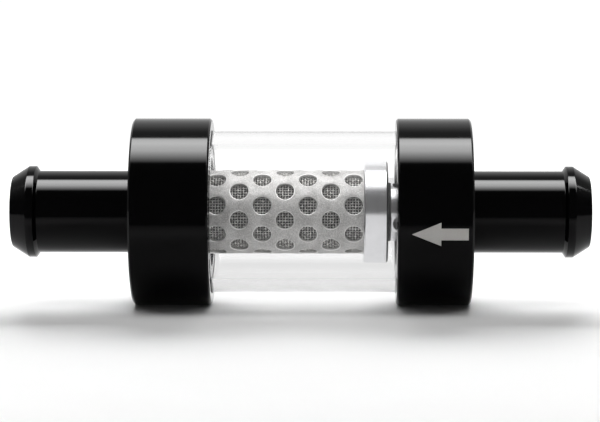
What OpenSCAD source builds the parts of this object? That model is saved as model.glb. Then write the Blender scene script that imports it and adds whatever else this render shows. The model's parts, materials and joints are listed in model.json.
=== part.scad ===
// In-line fuel filter with a glass body and a washable stainless element.
// The axis of the filter is X. The outlet is at -X, the inlet at +X, and the origin is the middle of its length.

/* [End caps] */
// Outside diameter of both caps
cap_d = 29; // [27:0.5:34]
// Length of the outlet cap without its hose tail
outlet_cap_l = 12.1; // [11.5:0.1:16]
// Length of the inlet cap without its hose tail
inlet_cap_l = 11.5; // [11:0.1:16]
// Glass window left open between the two caps
window_l = 28.5; // [24:0.5:60]
// Chamfer on the outer edges of the caps
cap_chamfer = 0.3; // [0.1:0.1:0.6]

/* [Hose tails] */
// Outside diameter of the plain tube of a tail
tail_d = 12.7; // [12:0.1:13]
// Diameter over the bead that holds the hose
bead_d = 14.2; // [13.6:0.1:15]
// Diameter of the flat face at the tip
tip_d = 10.9; // [10.4:0.1:11.6]
// Through bore of a tail
tail_bore_d = 9.2; // [8:0.1:9.4]
// Length of the outlet tail
outlet_tail_l = 18.9; // [14:0.1:30]
// Length of the inlet tail
inlet_tail_l = 18.5; // [14:0.1:30]
// Length of the tapered nose in front of the bead
nose_l = 2.6; // [1.5:0.1:3.5]
// Length of the cylindrical land of the bead
bead_land = 1.1; // [0.8:0.1:2]
// Length of the chamfer behind the bead
bead_back = 0.5; // [0.3:0.1:1]

/* [Glass] */
// Outside diameter of the glass tube
glass_d = 25; // [24:0.1:25.2]
// Wall of the glass tube
glass_wall = 2; // [1.8:0.1:2.2]
// Depth of the ring-shaped socket that takes each end of the glass
socket_depth = 5; // [4.5:0.1:6]
// Gap between the glass and each wall of its socket
socket_gap = 0.2; // [0.1:0.05:0.3]
// Thickness of the flat ring between the glass and the socket's floor
cushion_t = 1; // [0.6:0.1:1.4]

/* [Element] */
// Outside diameter of the perforated tube
element_d = 13; // [12:0.1:13.4]
// Wall of the perforated tube
element_wall = 0.4; // [0.3:0.1:1]
// Diameter of the punched holes
hole_d = 2.75; // [2:0.05:3]
// Distance along the tube from one ring of holes to the next
hole_pitch = 3.51; // [3.3:0.01:4.5]
// Holes in each ring
holes_round = 9; // [7:1:9]
// Rings of holes, each turned half a step from the last
hole_rings = 7; // [4:1:7]
// Outside diameter of the plug that closes the element
plug_d = 15.9; // [15:0.1:18]
// Length of the plug's rim
plug_l = 3.7; // [3:0.1:5]
// Gap between the plug and the face of the inlet cap
plug_gap = 1.3; // [1:0.1:3]

/* [Stem] */
// Diameter of the stem's shank
stem_d = 9.1; // [8.6:0.1:10]
// Bore of the stem
stem_bore_d = 5; // [4:0.1:5.4]
// Diameter of the cross-holes that let the fuel out into the glass
port_d = 2.5; // [2:0.1:2.8]
// Thickness of the washer under the stem's shoulder
washer_t = 0.4; // [0.3:0.1:0.8]
// Nominal diameter of the thread between the stem and the inlet cap
stem_thread_d = 8; // [7:0.5:8]
// Nominal diameter of the thread between the stem and the plug
stud_thread_d = 6; // [5:0.5:6]
// Nominal diameter of the thread between the collar and the outlet cap
collar_thread_d = 16; // [15.5:0.5:16]

/* [Hidden] */

$fn = 96;
past = 1;                // how far a cutting tool runs past the face that it cuts
drill_start = 0.7;       // how far inside a bore a radial drill starts, so that drills stay apart
drill_l = 4;             // length of a radial drill
thread_gap = 0.05;       // radial running clearance of each thread
press_gap = 0.01;        // radial gap where one piece is pressed into another

// Stations along X
overall_l = outlet_tail_l + outlet_cap_l + window_l + inlet_cap_l + inlet_tail_l;
outlet_tip = -overall_l / 2;
outlet_shoulder = outlet_tip + outlet_tail_l;
outlet_face = outlet_shoulder + outlet_cap_l;
inlet_tip = overall_l / 2;
inlet_shoulder = inlet_tip - inlet_tail_l;
inlet_face = inlet_shoulder - inlet_cap_l;

// Glass and its sockets
glass_r = glass_d / 2;
glass_bore_r = glass_r - glass_wall;
socket_outer_r = glass_r + socket_gap;
spigot_r = glass_bore_r - socket_gap;
outlet_socket_floor = outlet_face - socket_depth;
inlet_socket_floor = inlet_face + socket_depth;
glass_start = outlet_socket_floor + cushion_t;
glass_end = inlet_socket_floor - cushion_t;
cushion_gap = 0.1;

// Rings of round rubber in a groove on each spigot
seal_cord_d = 1.1;
seal_stretch = 0.05;      // gap between the ring and the groove's floor, and between the ring and the glass
groove_w = 1.5;
groove_inset = 1.2;       // from the cap's face to the groove
seal_r = glass_bore_r - seal_stretch - seal_cord_d / 2;
groove_floor_r = seal_r - seal_cord_d / 2 - seal_stretch;

// Element, from the plug towards the outlet
plug_end = inlet_face - plug_gap;
plug_start = plug_end - plug_l;
plug_cup_depth = 1.5;     // how far the tube goes into the plug
plug_boss_r = 4.2;
plug_boss_l = 2.5;
plug_chamfer = 0.25;
last_ring = plug_start - 1.55;
collar_l = 5.5;
collar_lip = 1.5;         // wall that the tube stands against
collar_bore_r = 5;
collar_start = outlet_face - 6.95;
collar_end = collar_start + collar_l;
element_seal_t = 1;
pocket_floor = collar_start - element_seal_t;
relief_r = collar_thread_d / 2 + 0.4;
relief_l = 2.4;           // plain mouth in front of the collar's thread
tube_r = element_d / 2;
tube_bore_r = tube_r - element_wall;
tube_start = collar_start + collar_lip;
tube_end = plug_start + plug_cup_depth;
mesh_t = 0.3;
hole_phase = -13.5;       // turn of the first ring of holes about X

// Stem, from its stud to its thread
shank_start = plug_end + washer_t;
shank_l = 3.55;
shank_end = shank_start + shank_l;
stem_end = shank_end + 7;
stud_l = 5;
stem_bore_start = shank_start + 0.25;
port_x = inlet_face + 0.7;
ports_round = 4;
port_phase = 19;          // turn of the first cross-hole about X
chamber_r = relief_r;     // recess in the inlet cap, around the cross-holes
chamber_floor = shank_end + 1;
inlet_bore_floor = stem_end + 0.5;
thread_nose = 0.5;        // chamfer at the start of each thread

// Flow arrow, cut into the inlet cap and pointing at the outlet
arrow_tip = inlet_face + 2.1;
arrow_l = 8.5;
arrow_head_l = 4.4;
arrow_head_w = 3.6;
arrow_shaft_w = 1.8;
arrow_depth = 0.05;
arrow_turn = 8.5;         // turn about X below the side that faces -Y

// A body turned about the filter's axis, from an outline of [radius, x] points
module turned(outline)
    rotate([0, 90, 0]) rotate_extrude() polygon(outline);

// A round bar or cutting tool along the filter's axis
module bar(r, from, to)
    translate([from, 0, 0]) rotate([0, 90, 0]) cylinder(r = r, h = to - from);

// A plain ring about the filter's axis
module ring(outer, inner, from, to)
    difference() {
        bar(outer, from, to);
        bar(inner, from - past, to + past);
    }

// A radial drill that starts inside a wall's bore and leaves on the side that faces -Y, turned about X
module radial_drill(r, x, turn, start)
    rotate([turn, 0, 0]) translate([x, -start, 0]) rotate([90, 0, 0]) cylinder(r = r, h = drill_l);

// The outside of a cap and its tail, drawn with its tip at 0 and its glass end at tail_l + cap_l
module cap_blank(tail_l, cap_l) {
    cap_r = cap_d / 2;
    bead_r = bead_d / 2;
    face = tail_l + cap_l;
    turned([
        [0, 0],
        [tip_d / 2 - 0.2, 0],
        [tip_d / 2, 0.2],
        [bead_r, nose_l],
        [bead_r, nose_l + bead_land],
        [tail_d / 2, nose_l + bead_land + bead_back],
        [tail_d / 2, tail_l],
        [cap_r - cap_chamfer, tail_l],
        [cap_r, tail_l + cap_chamfer],
        [cap_r, face - cap_chamfer],
        [cap_r - cap_chamfer, face],
        [0, face]
    ]);
}

// The ring-shaped socket for the glass and the seal's groove on its spigot, sunk into a face at 0 towards -X
module glass_socket() {
    ring(socket_outer_r, spigot_r, -socket_depth, past);
    ring(spigot_r + past, groove_floor_r, -groove_inset - groove_w, -groove_inset);
}

module outlet_cap()
    color("#121214")
    difference() {
        translate([outlet_tip, 0, 0]) cap_blank(outlet_tail_l, outlet_cap_l);
        bar(tail_bore_d / 2, outlet_tip - past, outlet_face + past);
        bar(collar_thread_d / 2 + thread_gap, pocket_floor, outlet_face + past);
        bar(relief_r, outlet_face - relief_l, outlet_face + past);
        translate([outlet_face, 0, 0]) glass_socket();
    }

module flow_arrow_cut() {
    head = arrow_tip + arrow_head_l;
    tail = arrow_tip + arrow_l;
    intersection() {
        rotate([arrow_turn, 0, 0]) rotate([90, 0, 0])
            linear_extrude(height = cap_d)
                polygon([
                    [arrow_tip, 0],
                    [head, arrow_head_w / 2],
                    [head, arrow_shaft_w / 2],
                    [tail, arrow_shaft_w / 2],
                    [tail, -arrow_shaft_w / 2],
                    [head, -arrow_shaft_w / 2],
                    [head, -arrow_head_w / 2]
                ]);
        ring(cap_d / 2 + past, cap_d / 2 - arrow_depth, inlet_face, inlet_shoulder);
    }
}

module inlet_cap()
    color("#121214")
    difference() {
        translate([inlet_tip, 0, 0]) mirror([1, 0, 0]) cap_blank(inlet_tail_l, inlet_cap_l);
        bar(tail_bore_d / 2, inlet_bore_floor, inlet_tip + past);
        bar(stem_thread_d / 2 + thread_gap, inlet_face - past, inlet_bore_floor + past);
        bar(chamber_r, inlet_face - past, chamber_floor);
        translate([inlet_face, 0, 0]) mirror([1, 0, 0]) glass_socket();
        flow_arrow_cut();
    }

module glass_tube()
    color("#e8f2f2", 0.35)
    ring(glass_r, glass_bore_r, glass_start, glass_end);

module glass_seal(x)
    color("#0a0a0a")
    translate([x, 0, 0]) rotate([0, 90, 0])
        rotate_extrude() translate([seal_r, 0]) circle(d = seal_cord_d, $fn = 32);

module outlet_glass_seal() glass_seal(outlet_face - groove_inset - groove_w / 2);

module inlet_glass_seal() glass_seal(inlet_face + groove_inset + groove_w / 2);

module glass_cushion(from)
    color("#dcdcd6")
    ring(socket_outer_r - cushion_gap, spigot_r + cushion_gap, from, from + cushion_t);

module outlet_glass_cushion() glass_cushion(outlet_socket_floor);

module inlet_glass_cushion() glass_cushion(glass_end);

module perforated_tube()
    color("#b4b2ae")
    difference() {
        ring(tube_r, tube_bore_r, tube_start, tube_end);
        for (i = [0 : hole_rings - 1], k = [0 : holes_round - 1])
            radial_drill(
                hole_d / 2, last_ring - i * hole_pitch,
                hole_phase + (k + (i % 2) / 2) * 360 / holes_round, tube_bore_r - drill_start
            );
    }

module mesh_sleeve()
    color("#8c8a86")
    ring(tube_bore_r - press_gap, tube_bore_r - mesh_t, tube_start, tube_end);

module element_collar()
    color("#c8c8ca")
    difference() {
        turned([
            [0, collar_start],
            [collar_thread_d / 2 - thread_nose, collar_start],
            [collar_thread_d / 2, collar_start + thread_nose],
            [collar_thread_d / 2, collar_end],
            [0, collar_end]
        ]);
        bar(collar_bore_r, collar_start - past, collar_end + past);
        bar(tube_r + press_gap, tube_start, collar_end + past);
    }

module element_seal()
    color("#0a0a0a")
    ring(collar_thread_d / 2 - 0.2, collar_bore_r + 0.2, pocket_floor, collar_start);

module element_plug()
    color("#d2d2d4")
    difference() {
        union() {
            turned([
                [0, plug_start],
                [plug_d / 2 - plug_chamfer, plug_start],
                [plug_d / 2, plug_start + plug_chamfer],
                [plug_d / 2, plug_end - plug_chamfer],
                [plug_d / 2 - plug_chamfer, plug_end],
                [0, plug_end]
            ]);
            bar(plug_boss_r, tube_end - plug_boss_l, plug_end);
        }
        ring(tube_r + press_gap, plug_boss_r, plug_start - past, tube_end);
        bar(stud_thread_d / 2 + press_gap, tube_end - plug_boss_l - past, plug_end + past);
    }

module stem_washer()
    color("#0a0a0a")
    ring(stem_d / 2, stud_thread_d / 2 + press_gap, plug_end, shank_start);

module hollow_stem()
    color("#c8c8c8")
    difference() {
        union() {
            bar(stud_thread_d / 2, shank_start - stud_l, shank_start);
            bar(stem_d / 2, shank_start, shank_end);
            turned([
                [0, shank_end],
                [stem_thread_d / 2, shank_end],
                [stem_thread_d / 2, stem_end - thread_nose],
                [stem_thread_d / 2 - thread_nose, stem_end],
                [0, stem_end]
            ]);
        }
        bar(stem_bore_d / 2, stem_bore_start, stem_end + past);
        for (k = [0 : ports_round - 1])
            radial_drill(port_d / 2, port_x, port_phase + k * 360 / ports_round, stem_bore_d / 2 - drill_start);
    }

outlet_cap();
inlet_cap();
glass_tube();
outlet_glass_seal();
inlet_glass_seal();
outlet_glass_cushion();
inlet_glass_cushion();
perforated_tube();
mesh_sleeve();
element_collar();
element_seal();
element_plug();
stem_washer();
hollow_stem();
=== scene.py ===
import json
import math
import bpy
import bmesh
from mathutils import Matrix, Vector


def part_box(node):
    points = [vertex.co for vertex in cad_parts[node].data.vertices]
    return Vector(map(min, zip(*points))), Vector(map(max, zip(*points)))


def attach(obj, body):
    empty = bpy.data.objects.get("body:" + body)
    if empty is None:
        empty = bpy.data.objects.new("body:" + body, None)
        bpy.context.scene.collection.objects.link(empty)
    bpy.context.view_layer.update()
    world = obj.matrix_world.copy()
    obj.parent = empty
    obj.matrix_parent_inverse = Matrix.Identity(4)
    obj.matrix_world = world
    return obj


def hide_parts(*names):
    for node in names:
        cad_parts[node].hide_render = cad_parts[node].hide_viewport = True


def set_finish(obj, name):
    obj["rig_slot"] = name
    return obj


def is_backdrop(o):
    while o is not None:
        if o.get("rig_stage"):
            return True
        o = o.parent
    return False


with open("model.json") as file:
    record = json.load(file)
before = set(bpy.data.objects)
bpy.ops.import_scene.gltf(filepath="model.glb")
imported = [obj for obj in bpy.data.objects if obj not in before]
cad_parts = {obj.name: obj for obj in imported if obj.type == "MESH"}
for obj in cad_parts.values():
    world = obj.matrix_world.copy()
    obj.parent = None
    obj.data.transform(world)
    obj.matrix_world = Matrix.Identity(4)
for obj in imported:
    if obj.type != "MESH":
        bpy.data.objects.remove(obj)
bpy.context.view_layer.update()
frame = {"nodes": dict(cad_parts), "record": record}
mm = 0.001
pi = math.pi
scene = bpy.context.scene
mounts = {m["name"]: m for m in frame["record"]["mounts"]}
print("frame loaded:", len(frame["nodes"]), "nodes")


# the ends of a CAD node along the filter's axis and its radius, all in mm
def spanOf(node):
    low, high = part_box(node)
    return low.x / mm, high.x / mm, high.z / mm


def radiusOf(mount):
    return mounts[mount]["dims"]["r_mm"]


# a bmesh becomes a shaded piece that rides on its body
def finished(name, bm, finish, body, slot, nodes=(), sharpAt=35, weighted=True):
    mesh = bpy.data.meshes.new(name)
    bm.to_mesh(mesh)
    bm.free()
    for coat in finish if isinstance(finish, list) else [finish]:
        mesh.materials.append(coat)
    for face in mesh.polygons:
        face.use_smooth = True
    mesh.set_sharp_from_angle(angle=math.radians(sharpAt))
    piece = bpy.data.objects.new(name, mesh)
    scene.collection.objects.link(piece)
    if weighted:
        keep = piece.modifiers.new("evenNormals", "WEIGHTED_NORMAL")
        keep.keep_sharp = True
    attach(piece, body)
    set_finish(piece, slot)
    if nodes:
        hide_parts(*nodes)
    return piece


# corners given as (radius, x, fillet) become an outline with round corners
def filleted(corners, steps=4):
    outline = []
    for i, (r, x, fillet) in enumerate(corners):
        here = Vector((r, x))
        before = Vector(corners[i - 1][:2]) - here
        after = Vector(corners[(i + 1) % len(corners)][:2]) - here
        if fillet <= 0:
            outline.append(here)
            continue
        half = before.angle(after) / 2
        reach = min(fillet / math.tan(half), 0.45 * before.length, 0.45 * after.length)
        fillet = reach * math.tan(half)
        middle = here + (before.normalized() + after.normalized()).normalized() * fillet / math.sin(half)
        first = here + before.normalized() * reach - middle
        last = here + after.normalized() * reach - middle
        turn = first.angle_signed(last)
        for k in range(steps + 1):
            outline.append(middle + Matrix.Rotation(-turn * k / steps, 2) @ first)
    return outline


# an outline of (radius, x) in mm, turned about the filter's axis; it is closed on itself or ends on the axis
def turned(corners, segments=192, steps=4, closed=True):
    bm = bmesh.new()
    ring = [bm.verts.new((p[1] * mm, 0, p[0] * mm)) for p in filleted(corners, steps)]
    edges = [bm.edges.new((ring[i - 1], ring[i])) for i in range(0 if closed else 1, len(ring))]
    bmesh.ops.spin(bm, geom=ring + edges, cent=(0, 0, 0), axis=(1, 0, 0), dvec=(0, 0, 0),
                   angle=2 * pi, steps=segments, use_merge=True)
    bmesh.ops.remove_doubles(bm, verts=bm.verts, dist=1e-7)
    bmesh.ops.recalc_face_normals(bm, faces=bm.faces)
    return bm


# closely spaced corners along a straight stretch, for a thread to be cut in
def stretch(r, start, end, step=0.1):
    count = max(1, round(abs(end - start) / step))
    return [(r, start + (end - start) * k / count, 0) for k in range(count + 1)]


# winds a ridge of that depth into the stretch of wall at that radius
def cutThread(bm, r, start, end, depth, pitch=1.0, inside=False):
    for v in bm.verts:
        x = v.co.x / mm
        around = math.hypot(v.co.y, v.co.z) / mm
        if abs(around - r) > 0.01 or not start - 1e-4 <= x <= end + 1e-4:
            continue
        phase = (x / pitch - math.atan2(v.co.z, v.co.y) / (2 * pi)) % 1
        valley = min(max(abs(phase * 2 - 1) * 1.4 - 0.2, 0), 1)
        fade = min((x - start) / pitch, (end - x) / pitch, 1)
        scale = 1 + (depth if inside else -depth) * valley * max(fade, 0) / around
        v.co.y *= scale
        v.co.z *= scale


class Signal:  # a socket that can be written into a sum
    def __init__(self, shader, socket):
        self.shader = shader
        self.socket = socket

    def __add__(self, other): return self.shader.maths("ADD", self, other)
    def __radd__(self, other): return self.shader.maths("ADD", other, self)
    def __sub__(self, other): return self.shader.maths("SUBTRACT", self, other)
    def __rsub__(self, other): return self.shader.maths("SUBTRACT", other, self)
    def __mul__(self, other): return self.shader.maths("MULTIPLY", self, other)
    def __rmul__(self, other): return self.shader.maths("MULTIPLY", other, self)
    def __truediv__(self, other): return self.shader.maths("DIVIDE", self, other)
    def __pow__(self, other): return self.shader.maths("POWER", self, other)


class Shader:
    def __init__(self, owner):
        owner.use_nodes = True
        self.tree = owner.node_tree
        self.tree.nodes.clear()

    # any node: its settings first, then the values or links of its sockets
    def node(self, kind, settings=None, **sockets):
        made = self.tree.nodes.new(kind)
        for key, value in (settings or {}).items():
            if key == "stops":
                self.setStops(made.color_ramp, value)
            else:
                setattr(made, key, value)
        for key, value in sockets.items():
            self.plug(made.inputs[int(key[1:])] if key[1:].isdigit() else made.inputs[key.replace("_", " ")], value)
        return made

    def plug(self, socket, value):
        if isinstance(value, Signal):
            self.tree.links.new(value.socket, socket)
        elif isinstance(value, bpy.types.NodeSocket):
            self.tree.links.new(value, socket)
        else:
            socket.default_value = value

    def setStops(self, ramp, stops):
        while len(ramp.elements) > 1:
            ramp.elements.remove(ramp.elements[-1])
        for i, (place, shade) in enumerate(stops):
            element = ramp.elements[0] if i == 0 else ramp.elements.new(place)
            element.position = place
            element.color = (shade, shade, shade, 1) if isinstance(shade, (int, float)) else (*shade, 1)

    def maths(self, operation, a, b=0.0):
        return Signal(self, self.node("ShaderNodeMath", {"operation": operation}, _0=a, _1=b).outputs[0])

    def ramp(self, value, stops, interpolation="LINEAR"):
        made = self.node("ShaderNodeValToRGB", {"stops": stops}, Fac=value)
        made.color_ramp.interpolation = interpolation
        return Signal(self, made.outputs[0])

    def blend(self, share, a, b):
        made = self.node("ShaderNodeMix", {"data_type": "RGBA"}, _0=share, _6=a, _7=b)
        return Signal(self, made.outputs[2])

    def place(self):
        return Signal(self, self.node("ShaderNodeTexCoord").outputs["Object"])

    def axes(self, vector):
        made = self.node("ShaderNodeSeparateXYZ", None, Vector=vector)
        return [Signal(self, made.outputs[i]) for i in range(3)]

    def joined(self, x, y, z):
        return Signal(self, self.node("ShaderNodeCombineXYZ", None, X=x, Y=y, Z=z).outputs[0])

    def noise(self, vector, scale, detail=2.0, roughness=0.5):
        made = self.node("ShaderNodeTexNoise", None, Vector=vector, Scale=scale, Detail=detail, Roughness=roughness)
        return Signal(self, made.outputs[0])

    def bump(self, height, distance, strength=1.0):
        made = self.node("ShaderNodeBump", None, Height=height, Distance=distance, Strength=strength)
        return Signal(self, made.outputs[0])

    # tool marks left by turning: fine rings that follow the distance along the axis and from it
    def latheMarks(self, perMetre):
        x, y, z = self.axes(self.place())
        r = (y * y + z * z) ** 0.5
        return self.noise(self.joined(x, r, 0.0), perMetre, 3.0, 0.6)

    def finish(self, surface):
        self.node("ShaderNodeOutputMaterial", None, Surface=surface)


def material(name):
    made = bpy.data.materials.new(name)
    return made, Shader(made)


anodising = {"colour": (0.0015, 0.0015, 0.0018, 1), "roughness": 0.08, "specular": 0.115, "marks": 9000}


def blackAnodised():
    made, s = material("blackAnodised")
    marks = s.latheMarks(anodising["marks"])
    wear = s.noise(s.place(), 260.0, 4.0)
    rough = anodising["roughness"] + (marks - 0.5) * 0.05 + (wear - 0.5) * 0.05
    shader = s.node("ShaderNodeBsdfPrincipled", None, Base_Color=anodising["colour"], Roughness=rough,
                    Specular_IOR_Level=anodising["specular"], Normal=s.bump(marks, 0.000002, 0.5))
    s.finish(shader.outputs[0])
    return made


turning = {"colour": (0.90, 0.90, 0.915), "dull": (0.80, 0.80, 0.82), "marks": 14000}


def turnedAluminium():
    made, s = material("turnedAluminium")
    marks = s.latheMarks(turning["marks"])
    grain = s.noise(s.place(), 900.0, 3.0)
    colour = s.blend(grain, (*turning["colour"], 1), (*turning["dull"], 1))
    rough = 0.13 + marks * 0.14
    shader = s.node("ShaderNodeBsdfPrincipled", None, Base_Color=colour, Metallic=1.0, Roughness=rough,
                    Normal=s.bump(marks, 0.000004, 0.6))
    s.finish(shader.outputs[0])
    return made


sheetFinish = {"light": (0.82, 0.81, 0.80), "dark": (0.43, 0.423, 0.415)}


def satinStainless():
    made, s = material("satinStainless")
    place = s.place()
    cloud = s.noise(place, 420.0, 4.0, 0.6)
    grain = s.noise(place, 7600.0, 2.0, 0.7)
    colour = s.blend(s.ramp(cloud * 0.35 + grain * 0.65, [(0.38, 0.0), (0.60, 1.0)]),
                     (*sheetFinish["dark"], 1), (*sheetFinish["light"], 1))
    rough = 0.54 + cloud * 0.12 + grain * 0.08
    shader = s.node("ShaderNodeBsdfPrincipled", None, Base_Color=colour, Metallic=1.0, Roughness=rough,
                    Normal=s.bump(cloud * 0.3 + grain * 0.7, 0.00004, 0.9))
    s.finish(shader.outputs[0])
    return made


def drawnWire():
    made, s = material("drawnWire")
    place = s.place()
    tarnish = s.ramp(s.noise(place, 2400.0, 3.0, 0.6), [(0.38, 0.0), (0.60, 1.0)])
    colour = s.blend(tarnish, (0.97, 0.955, 0.93, 1), (0.34, 0.33, 0.315, 1))
    shader = s.node("ShaderNodeBsdfPrincipled", None, Base_Color=colour, Metallic=1.0,
                    Roughness=0.30 + tarnish * 0.16)
    s.finish(shader.outputs[0])
    return made


# near-black cloth for the sheet inside the weave: painted shade for the unlit inside of the element, standing also for
# finer layers of cloth behind the weave; its tone varies at random
def shadedCloth():
    made, s = material("shadedCloth")
    cloud = s.noise(s.place(), 1500.0, 2.0)
    colour = s.blend(cloud, (0.008, 0.008, 0.008, 1), (0.022, 0.021, 0.020, 1))
    shader = s.node("ShaderNodeBsdfPrincipled", None, Base_Color=colour, Roughness=0.85, Specular_IOR_Level=0.1)
    s.finish(shader.outputs[0])
    return made


def nitrileRubber():
    made, s = material("nitrileRubber")
    grain = s.noise(s.place(), 3500.0, 4.0, 0.65)
    colour = s.blend(grain, (0.010, 0.010, 0.011, 1), (0.022, 0.022, 0.022, 1))
    shader = s.node("ShaderNodeBsdfPrincipled", None, Base_Color=colour, Roughness=0.46 + grain * 0.2,
                    Normal=s.bump(grain, 0.00001, 0.5))
    s.finish(shader.outputs[0])
    return made


def whitePlastic():
    made, s = material("ptfe")
    grain = s.noise(s.place(), 1200.0, 3.0)
    colour = s.blend(grain, (0.80, 0.80, 0.77, 1), (0.70, 0.70, 0.67, 1))
    shader = s.node("ShaderNodeBsdfPrincipled", None, Base_Color=colour, Roughness=0.38 + grain * 0.15,
                    Normal=s.bump(grain, 0.00001, 0.4))
    s.finish(shader.outputs[0])
    return made


def etchedMark():
    made, s = material("etchedMark")
    speckle = s.noise(s.place(), 7000.0, 3.0, 0.7)
    colour = s.blend(speckle, (0.50, 0.485, 0.46, 1), (0.70, 0.685, 0.66, 1))
    shader = s.node("ShaderNodeBsdfPrincipled", None, Base_Color=colour, Roughness=0.6 + speckle * 0.2,
                    Metallic=0.15, Normal=s.bump(speckle, 0.00002, 0.6))
    s.finish(shader.outputs[0])
    return made


def burnishedEdge():
    made, s = material("burnishedEdge")
    grain = s.noise(s.place(), 2600.0, 3.0, 0.6)
    colour = s.blend(grain, (0.95, 0.94, 0.93, 1), (0.86, 0.85, 0.84, 1))
    shader = s.node("ShaderNodeBsdfPrincipled", None, Base_Color=colour, Metallic=1.0, Roughness=0.34 + grain * 0.14,
                    Normal=s.bump(grain, 0.000008, 0.5))
    s.finish(shader.outputs[0])
    return made


def clearGlass():
    made, s = material("clearGlass")
    glass = s.node("ShaderNodeBsdfPrincipled", None, Base_Color=(1, 1, 1, 1), Roughness=0.0, IOR=1.47,
                   Transmission_Weight=1.0)
    through = s.node("ShaderNodeBsdfTransparent", None, Color=(0.98, 0.985, 0.985, 1))
    path = s.node("ShaderNodeLightPath")
    both = s.node("ShaderNodeMixShader", None, Fac=path.outputs["Is Shadow Ray"],
                  _1=glass.outputs[0], _2=through.outputs[0])
    s.finish(both.outputs[0])
    return made


anodised = blackAnodised()
aluminium = turnedAluminium()
stainless = satinStainless()
burnished = burnishedEdge()
wire = drawnWire()
shade = shadedCloth()
rubber = nitrileRubber()
ptfe = whitePlastic()
etched = etchedMark()
glass = clearGlass()
print("materials made")


tail = {"bead": radiusOf("outlet_bead"), "tube": 6.35, "tip": 5.45, "bore": radiusOf("outlet_bore"),
        "nose": 2.6, "land": 1.1, "back": 0.5}
socket = {"depth": 5.0, "outer": 12.7, "spigot": 10.3, "grooveInset": 1.2, "grooveWidth": 1.5, "grooveFloor": 9.3}
capEdge = 0.3


# the outside of a cap from its bore's edge at the tip to its glass end, as distances from the tip
def capOutside(tailLength, length, capRadius):
    beadEnd = tail["nose"] + tail["land"]
    return [
        (tail["bore"], 0, 0.2),
        (tail["tip"], 0, 0.3),
        (tail["bead"], tail["nose"], 0.25),
        (tail["bead"], beadEnd, 0.12),
        (tail["tube"], beadEnd + tail["back"], 0.08),
        (tail["tube"], tailLength, 0.12),
        (capRadius - capEdge, tailLength, 0.06),
        (capRadius, tailLength + capEdge, 0.06),
        (capRadius, length - capEdge, 0.06),
        (capRadius - capEdge, length, 0.06),
    ]


# the socket for the glass and the seal's groove in its spigot, from the rim to the bore
def capSocket(length):
    floor = length - socket["depth"]
    grooveEnd = length - socket["grooveInset"]
    grooveStart = grooveEnd - socket["grooveWidth"]
    return [
        (socket["outer"], length, 0.1),
        (socket["outer"], floor, 0.08),
        (socket["spigot"], floor, 0.08),
        (socket["spigot"], grooveStart, 0.04),
        (socket["grooveFloor"], grooveStart, 0.1),
        (socket["grooveFloor"], grooveEnd, 0.1),
        (socket["spigot"], grooveEnd, 0.04),
        (socket["spigot"], length, 0.15),
    ]


def outletCap():
    start, end, capRadius = spanOf("outlet_cap")
    length = end - start
    pocket = {"thread": 8.05, "relief": 8.4, "reliefLength": 2.4}
    floor = spanOf("element_seal")[0] - start
    threadEnd = length - pocket["reliefLength"]
    shoulder = mounts["outlet_shoulder"]["pos_m"][0] / mm - start
    corners = capOutside(shoulder, length, capRadius) + capSocket(length) + [
        (pocket["relief"], length, 0.1),
        (pocket["relief"], threadEnd, 0.05),
        *stretch(pocket["thread"], threadEnd, floor + 0.5),
        (pocket["thread"], floor, 0.05),
        (tail["bore"], floor, 0.1),
    ]
    bm = turned([(r, x + start, fillet) for r, x, fillet in corners])
    return finished("outlet_cap_turned", bm, anodised, "outlet_end", "black_anodised", ["outlet_cap"])


def inletCap():
    start, end, capRadius = spanOf("inlet_cap")
    length = end - start
    centre = {"chamber": 8.4, "thread": 4.05}
    shankEnd = 17.4
    chamberFloor = end - (shankEnd + 1.0)
    boreFloor = end - (spanOf("hollow_stem")[1] + 0.5)
    shoulder = end - mounts["inlet_shoulder"]["pos_m"][0] / mm
    corners = capOutside(shoulder, length, capRadius) + capSocket(length) + [
        (centre["chamber"], length, 0.15),
        (centre["chamber"], chamberFloor, 0.1),
        (centre["thread"] + 0.5, chamberFloor, 0),
        *stretch(centre["thread"], chamberFloor - 0.5, boreFloor + 0.1),
        (centre["thread"], boreFloor, 0),
        (tail["bore"], boreFloor, 0.1),
    ]
    bm = turned([(r, end - x, fillet) for r, x, fillet in corners])
    return finished("inlet_cap_turned", bm, anodised, "inlet_end", "black_anodised", ["inlet_cap"])


arrow = {"tip": 2.1, "length": 8.5, "head": 4.4, "headWidth": 3.6, "shaftWidth": 1.8, "below": 8.5,
         "proud": 0.015, "sunk": 0.04}


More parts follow.
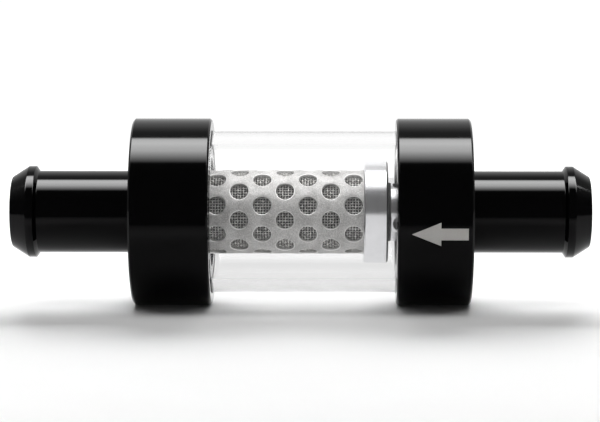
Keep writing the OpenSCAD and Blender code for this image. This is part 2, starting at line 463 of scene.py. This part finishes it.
# the flow arrow: a flat outline, cut into strips, then wrapped round the cap
def flowArrow():
    capFace, capEnd, capRadius = spanOf("inlet_cap")
    tip = capFace + arrow["tip"]
    head = tip + arrow["head"]
    end = tip + arrow["length"]
    wide = arrow["headWidth"] / 2
    narrow = arrow["shaftWidth"] / 2
    bm = bmesh.new()
    outline = [(tip, 0), (head, -wide), (head, -narrow), (end, -narrow), (end, narrow), (head, narrow), (head, wide)]
    bm.faces.new([bm.verts.new((x * mm, 0, z * mm)) for x, z in outline])
    strips = 24
    for k in range(1, strips):
        z = (-wide + 2 * wide * k / strips) * mm
        everything = bm.verts[:] + bm.edges[:] + bm.faces[:]
        bmesh.ops.bisect_plane(bm, geom=everything, dist=1e-9, plane_co=(0, 0, z), plane_no=(0, 0, 1))
    outer = (capRadius + arrow["proud"]) * mm
    for v in bm.verts:
        angle = v.co.z / (capRadius * mm) - math.radians(arrow["below"])
        v.co.y = -outer * math.cos(angle)
        v.co.z = outer * math.sin(angle)
    bmesh.ops.recalc_face_normals(bm, faces=bm.faces)
    if sum((f.normal.y for f in bm.faces)) > 0:
        bmesh.ops.reverse_faces(bm, faces=bm.faces)
    inner = 1 - (arrow["proud"] + arrow["sunk"]) / (capRadius + arrow["proud"])
    skirt = bmesh.ops.extrude_face_region(bm, geom=bm.faces[:])
    for v in [g for g in skirt["geom"] if isinstance(g, bmesh.types.BMVert)]:
        v.co.y *= inner
        v.co.z *= inner
    bmesh.ops.recalc_face_normals(bm, faces=bm.faces)
    return finished("flow_arrow", bm, etched, "inlet_end", "turned_aluminium", weighted=False)


outletCap()
inletCap()
flowArrow()
print("end caps made")


glassWall = {"thickness": 2.0, "edge": 0.25}


def glassTube():
    start, end, outer = spanOf("glass_tube")
    inner = outer - glassWall["thickness"]
    edge = glassWall["edge"]
    bm = turned([(inner, start, edge), (outer, start, edge), (outer, end, edge), (inner, end, edge)], segments=384)
    return finished("glass_tube_drawn", bm, glass, "glass", "clear_glass", ["glass_tube"])


def roundSeal(node, body):
    start, end, outer = spanOf(node)
    cord = (end - start) / 2
    bm = bmesh.new()
    made = bmesh.ops.create_circle(bm, cap_ends=False, segments=24, radius=cord * mm)
    turn = Matrix.Rotation(pi / 2, 4, "X")
    bmesh.ops.transform(bm, matrix=turn, verts=made["verts"])
    bmesh.ops.translate(bm, vec=((start + end) / 2 * mm, 0, (outer - cord) * mm), verts=made["verts"])
    bmesh.ops.spin(bm, geom=bm.verts[:] + bm.edges[:], cent=(0, 0, 0), axis=(1, 0, 0), dvec=(0, 0, 0),
                   angle=2 * pi, steps=160, use_merge=True)
    bmesh.ops.remove_doubles(bm, verts=bm.verts, dist=1e-7)
    bmesh.ops.recalc_face_normals(bm, faces=bm.faces)
    return finished(node + "_moulded", bm, rubber, body, "nitrile_rubber", [node], weighted=False)


def flatRing(node, inner, body, finish, slot, edge):
    start, end, outer = spanOf(node)
    bm = turned([(inner, start, edge), (outer, start, edge), (outer, end, edge), (inner, end, edge)], steps=3)
    return finished(node + "_cut", bm, finish, body, slot, [node])


glassTube()
roundSeal("outlet_glass_seal", "outlet_end")
roundSeal("inlet_glass_seal", "inlet_seals")
flatRing("outlet_glass_cushion", 10.4, "outlet_end", ptfe, "ptfe", 0.12)
flatRing("inlet_glass_cushion", 10.4, "inlet_seals", ptfe, "ptfe", 0.12)
flatRing("element_seal", 5.2, "element_gasket", rubber, "nitrile_rubber", 0.12)
flatRing("stem_washer", 3.01, "element", rubber, "nitrile_rubber", 0.06)
print("glass and seals made")


holes = {"radius": 1.375, "pitch": 3.51, "around": 9, "rings": 7, "last": 3.05, "phase": 13.5,
         "sides": 32, "rim": 0.12, "wall": 0.4}


# one cell of the sheet, flat and in mm: a hole in a rectangle that tiles along both its sides
def sheetCell(bm, wide, tall, x, y):
    side = holes["sides"] // 4
    grid = bmesh.ops.create_grid(bm, x_segments=side, y_segments=side, size=0.5)["verts"]
    bmesh.ops.delete(bm, geom=[v for v in grid if abs(v.co.x) < 0.499 and abs(v.co.y) < 0.499], context="VERTS")
    border = [v for v in grid if v.is_valid]
    bmesh.ops.scale(bm, vec=(wide, tall, 1), verts=border)
    rim = bmesh.ops.create_circle(bm, segments=holes["sides"], radius=holes["radius"])["verts"]
    bmesh.ops.rotate(bm, cent=(0, 0, 0), matrix=Matrix.Rotation(pi / 4, 3, "Z"), verts=rim)
    loops = {e for v in border + rim for e in v.link_edges}
    made = bmesh.ops.bridge_loops(bm, edges=list(loops))
    spokes = [e for e in made["edges"] if e not in loops]
    bmesh.ops.subdivide_edges(bm, edges=spokes, cuts=1, use_grid_fill=True)
    bmesh.ops.translate(bm, vec=(x, y, 0), verts=[v for v in bm.verts if not v.tag])
    for v in bm.verts:
        v.tag = True


# the punched sheet, drawn out plain at both ends, rolled up and given its thickness
def perforatedTube():
    start, end, outer = spanOf("perforated_tube")
    last = end - holes["last"]
    tall = 2 * pi * outer / holes["around"]
    bm = bmesh.new()
    for i in range(holes["rings"]):
        for k in range(holes["around"]):
            sheetCell(bm, holes["pitch"], tall, last - i * holes["pitch"], (k + (i % 2) / 2) * tall)
    bmesh.ops.remove_doubles(bm, verts=bm.verts, dist=1e-3)
    ends = [(last + holes["pitch"] / 2, end),
            (last - (holes["rings"] - 0.5) * holes["pitch"], start)]
    for edge, stop in ends:
        border = [e for e in bm.edges if e.is_boundary and all(abs(v.co.x - edge) < 1e-3 for v in e.verts)]
        drawn = bmesh.ops.extrude_edge_only(bm, edges=border)["geom"]
        for v in drawn:
            if isinstance(v, bmesh.types.BMVert):
                v.co.x = stop
    for v in bm.verts:
        angle = v.co.y / outer + math.radians(holes["phase"])
        v.co = (v.co.x * mm, -outer * mm * math.cos(angle), outer * mm * math.sin(angle))
    bmesh.ops.remove_doubles(bm, verts=bm.verts, dist=2e-6)
    bmesh.ops.recalc_face_normals(bm, faces=bm.faces)
    some = next(iter(bm.faces))
    if some.normal.dot(Vector((0, *some.calc_center_median().yz))) < 0:
        bmesh.ops.reverse_faces(bm, faces=bm.faces)
    inner = bmesh.ops.extrude_face_region(bm, geom=bm.faces[:])["geom"]
    scale = 1 - holes["wall"] / outer
    bmesh.ops.scale(bm, vec=(1, scale, scale), verts=[v for v in inner if isinstance(v, bmesh.types.BMVert)])
    bmesh.ops.recalc_face_normals(bm, faces=bm.faces)
    rims = [e for e in bm.edges if all(math.hypot(v.co.y, v.co.z) > (outer - 0.01) * mm for v in e.verts)
            and e.calc_face_angle(0) > 1.0 and start + 1 < e.verts[0].co.x / mm < end - 1]
    worn = bmesh.ops.bevel(bm, geom=rims, offset=holes["rim"] * mm, offset_type="OFFSET", segments=2,
                           profile=0.5, affect="EDGES", material=-1)["faces"]
    for face in worn:
        face.material_index = 1
    return finished("perforated_tube_rolled", bm, [stainless, burnished], "element", "satin_stainless",
                    ["perforated_tube"], sharpAt=50)


weave = {"pitch": 0.42, "wire": 0.068, "flat": 0.088, "lift": 0.068, "wall": 0.29, "backing": 0.005}


# a flattened four-sided wire drawn through a run of points
def drawWire(bm, points, closed=False):
    made = []
    for i, p in enumerate(points):
        before = points[i - 1] if i or closed else p
        after = points[(i + 1) % len(points)] if i + 1 < len(points) or closed else p
        along = (after - before).normalized()
        out = Vector((0, p.y, p.z)).normalized()
        side = along.cross(out).normalized()
        out = side.cross(along)
        out *= weave["wire"] * mm
        side *= weave["flat"] * mm
        made.append([bm.verts.new(p + d) for d in (out, side, -out, -side)])
    for i in range(0 if closed else 1, len(made)):
        for k in range(4):
            bm.faces.new((made[i - 1][k - 1], made[i - 1][k], made[i][k], made[i][k - 1]))
    return made


# plain weave: two neighbouring wires each way, one over where the other goes under, then copied round or along
def wovenMesh():
    start, end, outer = spanOf("mesh_sleeve")
    inside = outer - weave["wall"]
    # a thin near-black sheet just inside the weave: painted shade for the dark gaps between the wires, standing also
    # for finer cloth behind them
    bm = turned([(inside, start + 0.1, 0), (inside + weave["backing"], start + 0.1, 0),
                 (inside + weave["backing"], end - 0.1, 0), (inside, end - 0.1, 0)])
    finished("mesh_backing", bm, shade, "element", "stainless_mesh", ["mesh_sleeve"])

    middle = outer - weave["wall"] / 2
    around = 2 * round(pi * middle / weave["pitch"])
    rows = 2 * round((end - start) / weave["pitch"] / 2) - 2
    step = (end - start - 0.4) / rows
    first = start + 0.2

    def point(x, turn, lift):
        r = (middle + lift) * mm
        return Vector((x * mm, -r * math.cos(turn), r * math.sin(turn)))

    bm = bmesh.new()
    for j in range(2):
        lift = weave["lift"] * (1 if j else -1)
        drawWire(bm, [point(first + step * k / 2, 2 * pi * j / around,
                            lift * (0 if k % 2 else (1 if k % 4 else -1))) for k in range(2 * rows + 1)])
    bmesh.ops.spin(bm, geom=bm.verts[:] + bm.edges[:] + bm.faces[:], cent=(0, 0, 0), axis=(1, 0, 0),
                   dvec=(0, 0, 0), angle=2 * pi * (around - 2) / around, steps=around // 2 - 1,
                   use_duplicate=True)
    bmesh.ops.recalc_face_normals(bm, faces=bm.faces)
    long = finished("mesh_warp", bm, wire, "element", "stainless_mesh", ["mesh_sleeve"], sharpAt=180, weighted=False)

    bm = bmesh.new()
    for i in range(rows + 1):
        lift = weave["lift"] * (1 if i % 2 else -1)
        drawWire(bm, [point(first + step * i, pi * k / around, -lift * (0 if k % 2 else (1 if k % 4 else -1)))
                      for k in range(2 * around)], closed=True)
    bmesh.ops.recalc_face_normals(bm, faces=bm.faces)
    finished("mesh_weft", bm, wire, "element", "stainless_mesh", ["mesh_sleeve"], sharpAt=180, weighted=False)
    return long


collar = {"bore": 5.0, "lip": 1.5, "seat": 6.51, "lead": 0.5, "threadDepth": 0.35}


def elementCollar():
    start, end, outer = spanOf("element_collar")
    lead = collar["lead"]
    bm = turned([
        (collar["bore"], start, 0.1),
        (outer - lead, start, 0.05),
        (outer, start + lead, 0.05),
        *stretch(outer, start + lead + 0.1, end - 0.3),
        (outer, end - 0.15, 0.05),
        (outer - 0.15, end, 0.05),
        (collar["seat"], end, 0.08),
        (collar["seat"], start + collar["lip"], 0),
        (collar["bore"], start + collar["lip"], 0.08),
    ], steps=2)
    cutThread(bm, outer, start + lead + 0.1, end - 0.3, collar["threadDepth"])
    return finished("element_collar_turned", bm, aluminium, "element", "turned_aluminium", ["element_collar"])


plug = {"stud": 3.01, "boss": 4.2, "seat": 6.51, "cup": 1.5, "bossLength": 2.5, "edge": 0.25, "groove": 0.12}


def elementPlug():
    start, end, outer = spanOf("element_plug")
    floor = spanOf("perforated_tube")[1]
    bossStart = floor - plug["bossLength"]
    start = floor - plug["cup"]
    edge = plug["edge"]
    bm = turned([
        (plug["stud"], bossStart, 0.1),
        (plug["boss"], bossStart, 0.15),
        (plug["boss"], floor, 0.05),
        (plug["seat"], floor, 0.05),
        (plug["seat"], start, 0.1),
        (outer - edge, start, 0.1),
        (outer, start + edge, 0.1),
        (outer, end - edge, 0.1),
        (outer - edge, end, 0.1),
        (plug["stud"], end, 0.1),
    ])
    return finished("element_plug_turned", bm, aluminium, "element", "turned_aluminium", ["element_plug"])


stem = {"stud": 3.0, "thread": 4.0, "bore": 2.5, "shankLength": 3.55, "boreInset": 0.25, "studLength": 5.0,
        "port": 1.25, "portFrom": 1.6, "ports": 4, "portTurn": 19, "nose": 0.5, "threadDepth": 0.4}


def hollowStem():
    start, end, outer = spanOf("hollow_stem")
    shankStart = start + stem["studLength"]
    shankEnd = shankStart + stem["shankLength"]
    bm = turned([
        (0, start, 0),
        (stem["stud"] - 0.3, start, 0.05),
        *stretch(stem["stud"], start + 0.3, shankStart),
        (outer, shankStart, 0.1),
        (outer, shankEnd, 0.15),
        *stretch(stem["thread"], shankEnd, end - stem["nose"]),
        (stem["thread"] - stem["nose"], end, 0.05),
        (stem["bore"], end, 0.1),
        (stem["bore"], shankStart + stem["boreInset"], 0.2),
        (0, shankStart + stem["boreInset"], 0),
    ], segments=128, steps=3, closed=False)
    cutThread(bm, stem["thread"], shankEnd + 0.3, end - stem["nose"], stem["threadDepth"])
    piece = finished("hollow_stem_turned", bm, aluminium, "element", "turned_aluminium", ["hollow_stem"], weighted=False)

    drills = bmesh.new()
    portAt = shankStart + stem["portFrom"]
    for k in range(stem["ports"]):
        turn = math.radians(stem["portTurn"] + k * 360 / stem["ports"])
        out = Vector((0, -math.cos(turn), -math.sin(turn)))
        place = Matrix.Translation(Vector((portAt * mm, 0, 0)) + out * 3.9 * mm) @ out.to_track_quat("Z", "Y").to_matrix().to_4x4()
        bmesh.ops.create_cone(drills, cap_ends=True, segments=40, radius1=stem["port"] * mm, radius2=stem["port"] * mm,
                              depth=4 * mm, matrix=place)
    cutterMesh = bpy.data.meshes.new("portDrills")
    drills.to_mesh(cutterMesh)
    drills.free()
    cutter = bpy.data.objects.new("portDrills", cutterMesh)
    scene.collection.objects.link(cutter)
    cut = piece.modifiers.new("ports", "BOOLEAN")
    cut.operation = "DIFFERENCE"
    cut.solver = "EXACT"
    cut.object = cutter
    bpy.context.view_layer.update()
    drilled = bpy.data.meshes.new_from_object(piece.evaluated_get(bpy.context.evaluated_depsgraph_get()))
    piece.modifiers.remove(cut)
    piece.data = drilled
    drilled.name = piece.name
    drilled.materials.clear()
    drilled.materials.append(aluminium)
    drilled.set_sharp_from_angle(angle=math.radians(35))
    even = piece.modifiers.new("evenNormals", "WEIGHTED_NORMAL")
    even.keep_sharp = True
    bpy.data.objects.remove(cutter)
    return piece


perforatedTube()
wovenMesh()
elementCollar()
elementPlug()
hollowStem()
print("element made")


floorShape = {"size": 6.0, "drop": 14.5, "white": 1.03, "unlit": 0.10, "throughGlass": 0.80}


# white paper: matt near the filter, plain white further off, dark in reflections beyond the lit table,
# and an even light grey through the glass
def whitePaper():
    made, s = material("whitePaper")
    grain = s.noise(s.place(), 30.0, 2.0)
    colour = s.blend(grain, (0.86, 0.86, 0.86, 1), (0.90, 0.90, 0.90, 1))
    matt = s.node("ShaderNodeBsdfDiffuse", None, Color=colour, Roughness=0.0)
    lit = s.node("ShaderNodeEmission", None, Color=(1, 1, 1, 1), Strength=floorShape["white"])
    unlit = s.node("ShaderNodeEmission", None, Color=(1, 1, 1, 1), Strength=floorShape["unlit"])
    x, y, z = s.axes(s.place())
    far = s.ramp((x * x + y * y) ** 0.5, [(0.12, 0.0), (0.45, 1.0)], "EASE")
    path = s.node("ShaderNodeLightPath")
    front = s.ramp(y * -1.0, [(0.045, 0.0), (0.085, 1.0)]) * Signal(s, path.outputs["Is Glossy Ray"])
    seen = s.node("ShaderNodeMixShader", None, Fac=far, _1=matt.outputs[0], _2=lit.outputs[0])
    both = s.node("ShaderNodeMixShader", None, Fac=front, _1=seen.outputs[0], _2=unlit.outputs[0])
    grey = s.node("ShaderNodeEmission", None, Color=(1, 1, 1, 1), Strength=floorShape["throughGlass"])
    paper = s.node("ShaderNodeMixShader", None, Fac=path.outputs["Is Transmission Ray"],
                   _1=both.outputs[0], _2=grey.outputs[0])
    s.finish(paper.outputs[0])
    return made


def layFloor():
    bm = bmesh.new()
    bmesh.ops.create_grid(bm, x_segments=1, y_segments=1, size=floorShape["size"] / 2)
    bmesh.ops.translate(bm, vec=(0, 0, -floorShape["drop"] * mm), verts=bm.verts)
    mesh = bpy.data.meshes.new("floor")
    bm.to_mesh(mesh)
    bm.free()
    mesh.materials.append(whitePaper())
    floor = bpy.data.objects.new("floor", mesh)
    scene.collection.objects.link(floor)
    floor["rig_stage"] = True
    return floor


layFloor()


# the room: white behind the filter, dark on the camera's side, plain white to the eye and through the glass
room = {"front": 0.10, "above": 0.45, "back": 0.9, "seen": 1.03, "fill": 0.07}


def paintRoom():
    world = bpy.data.worlds.new("room")
    scene.world = world
    s = Shader(world)
    x, y, z = s.axes(Signal(s, s.node("ShaderNodeTexCoord").outputs["Generated"]))
    tone = s.ramp(y * 0.5 + 0.5, [(0.0, room["front"]), (0.4, room["front"]), (0.6, room["above"]),
                                  (0.75, room["above"]), (0.85, room["back"])])
    path = s.node("ShaderNodeLightPath")
    bounced = s.maths("MINIMUM", Signal(s, path.outputs["Glossy Depth"]) + Signal(s, path.outputs["Diffuse Depth"]), 1.0)
    inWall = s.maths("LESS_THAN", Signal(s, path.outputs["Transmission Depth"]), 2.5)
    clear = s.maths("MAXIMUM", 1 - bounced, inWall)
    through = Signal(s, path.outputs["Is Transmission Ray"]) * clear
    seen = s.maths("MAXIMUM", Signal(s, path.outputs["Is Camera Ray"]), through)
    matt = s.maths("MINIMUM", Signal(s, path.outputs["Diffuse Depth"]), 1.0)
    toned = s.blend(matt, tone, (room["fill"], room["fill"], room["fill"], 1))
    colour = s.blend(seen, toned, (room["seen"], room["seen"], room["seen"], 1))
    back = s.node("ShaderNodeBackground", None, Color=colour, Strength=1.0)
    s.node("ShaderNodeOutputWorld", None, Surface=back.outputs[0])


paintRoom()

softbox = {"height": 0.40, "front": 0.18, "back": 0.145, "length": 1.1, "frontOnRest": 0.30,
           "onBlack": 32.0, "onRest": 2.6, "onPaper": 1.9,
           "glow": [(0.0, 0.0), (0.12, 0.25), (0.42, 0.95), (0.68, 1.0), (0.84, 0.7), (0.93, 0.0)]}
backlight = {"elevation": 32.0, "distance": 0.7, "length": 0.45, "depth": 0.34, "whole": 8.5, "caps": 10.0}


def lightOnly(lamp, pieces):
    lit = bpy.data.collections.new(lamp.name + "Pieces")
    for piece in pieces:
        lit.objects.link(piece)
    lamp.light_linking.receiver_collection = lit


# an overhead softbox; the gloss black pieces and the rest each get their own strength of it
def hangSoftbox(name, strength, pieces, front=softbox["front"]):
    light = bpy.data.lights.new(name, "AREA")
    light.shape = "RECTANGLE"
    light.size = softbox["length"]
    light.size_y = front + softbox["back"]
    light.energy = strength * pi * light.size * light.size_y
    s = Shader(light)
    u, v, w = s.axes(Signal(s, s.node("ShaderNodeNewGeometry").outputs["Parametric"]))
    glow = s.node("ShaderNodeEmission", None, Color=(1, 1, 1, 1), Strength=s.ramp(v, softbox["glow"]))
    s.node("ShaderNodeOutputLight", None, Surface=glow.outputs[0])
    lamp = bpy.data.objects.new(name, light)
    lamp.location = (0, (softbox["back"] - front) / 2, softbox["height"])
    scene.collection.objects.link(lamp)
    lightOnly(lamp, pieces)
    return lamp


# a soft light from behind that throws a shadow forward on the paper, of every piece or of the blockers alone
def hangBacklight(name, strength, pieces, blockers=None):
    light = bpy.data.lights.new(name, "AREA")
    light.shape = "RECTANGLE"
    light.size = backlight["length"]
    light.size_y = backlight["depth"]
    light.energy = strength * pi * light.size * light.size_y
    lamp = bpy.data.objects.new(name, light)
    up = math.radians(backlight["elevation"])
    lamp.location = Vector((0, math.cos(up), math.sin(up))) * backlight["distance"]
    lamp.rotation_mode = "QUATERNION"
    lamp.rotation_quaternion = (-lamp.location).to_track_quat("-Z", "Y")
    scene.collection.objects.link(lamp)
    lightOnly(lamp, pieces)
    if blockers:
        shading = bpy.data.collections.new(name + "Blockers")
        for piece in blockers:
            shading.objects.link(piece)
        lamp.light_linking.blocker_collection = shading


meshes = [o for o in scene.objects if o.type == "MESH" and not o.hide_render]
blackOnes = [o for o in meshes if o.get("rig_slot") in ("black_anodised",)]
floorOnly = [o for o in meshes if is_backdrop(o)]
others = [o for o in meshes if o not in blackOnes + floorOnly]
hangSoftbox("softboxOnBlack", softbox["onBlack"], blackOnes).visible_diffuse = False
hangSoftbox("softboxOnRest", softbox["onRest"], others, softbox["frontOnRest"])
hangSoftbox("softboxOnPaper", softbox["onPaper"], floorOnly).data.use_shadow = False
hangBacklight("backlight", backlight["whole"], floorOnly)
hangBacklight("backlightPastCaps", backlight["caps"], floorOnly, blackOnes)
print("stage and lights made")

view = {"lens": 147.0, "distance": 0.381, "elevation": 5.0, "across": 5.3, "aimAt": -0.12, "aimUp": 0.12}


def setCamera():
    up = math.radians(view["elevation"])
    camera = bpy.data.objects.new("camera", bpy.data.cameras.new("camera"))
    camera.data.lens = view["lens"]
    camera.data.sensor_width = 36
    camera.data.clip_start = 0.01
    camera.data.clip_end = 20
    scene.collection.objects.link(camera)
    camera.location = (view["across"] * mm, -view["distance"] * math.cos(up), view["distance"] * math.sin(up))
    towards = Vector((view["aimAt"] * mm, 0, view["aimUp"] * mm)) - camera.location
    camera.rotation_mode = "QUATERNION"
    camera.rotation_quaternion = towards.to_track_quat("-Z", "Y")
    scene.camera = camera


setCamera()
scene.view_settings.view_transform = "Standard"
print("camera set")
